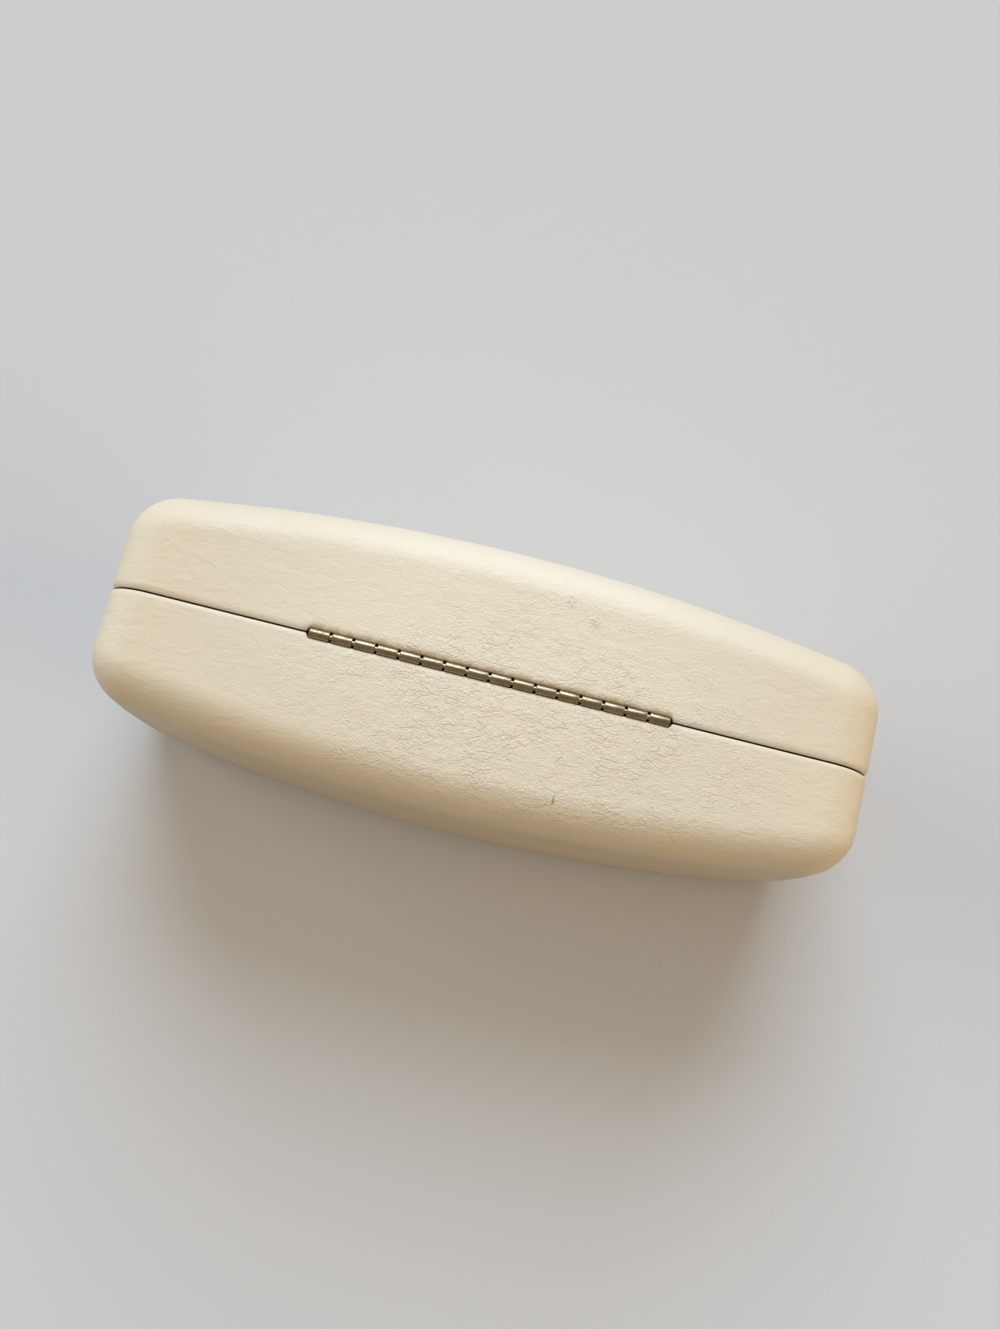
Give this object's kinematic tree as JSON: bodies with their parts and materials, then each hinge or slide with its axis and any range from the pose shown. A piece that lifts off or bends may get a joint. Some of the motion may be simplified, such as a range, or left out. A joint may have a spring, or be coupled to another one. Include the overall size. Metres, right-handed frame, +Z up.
{
  "type": "sunglasses case",
  "caption": "Rigid clamshell sunglasses case with arched, leatherette-covered halves, a velour lining and a rolled piano hinge along the back; the lid swings open.",
  "frame": {"origin": "middle of the closed case's footprint, on the plane of the front walls on which it stands", "axes": "+X along the hinge, +Y from the lid half to the base half, +Z up from the front walls to the hinge"},
  "size_m": [0.17, 0.06, 0.0685],
  "materials": {
    "leatherette": "semi-matt ivory leatherette with a fine wrinkled grain",
    "foam": "closed-cell foam sheet",
    "shell_steel": "pressed mild steel, oiled",
    "velour": "short-pile velour",
    "hinge_metal": "worn, aged nickel over brass",
    "spring_steel": "blued spring steel"
  },
  "bodies": {
    "base": {"base_cover": "leatherette", "base_padding": "foam", "base_shell": "shell_steel", "base_lining": "velour", "base_hinge_leaf": "hinge_metal", "hinge_pin": "hinge_metal", "snap_spring_left": "spring_steel", "snap_spring_right": "spring_steel", "hinge_gusset": "velour"},
    "lid": {"lid_cover": "leatherette", "lid_padding": "foam", "lid_shell": "shell_steel", "lid_lining": "velour", "lid_hinge_leaf": "hinge_metal"}
  },
  "joints": [
    {"name": "lid_hinge", "type": "hinge", "parent": "base", "child": "lid", "pos_m": [0, 0, 0.06745], "axis": [-1, 0, 0], "range_deg": [0, 110], "deforming": ["snap_spring_left", "snap_spring_right", "hinge_gusset"]}
  ]
}
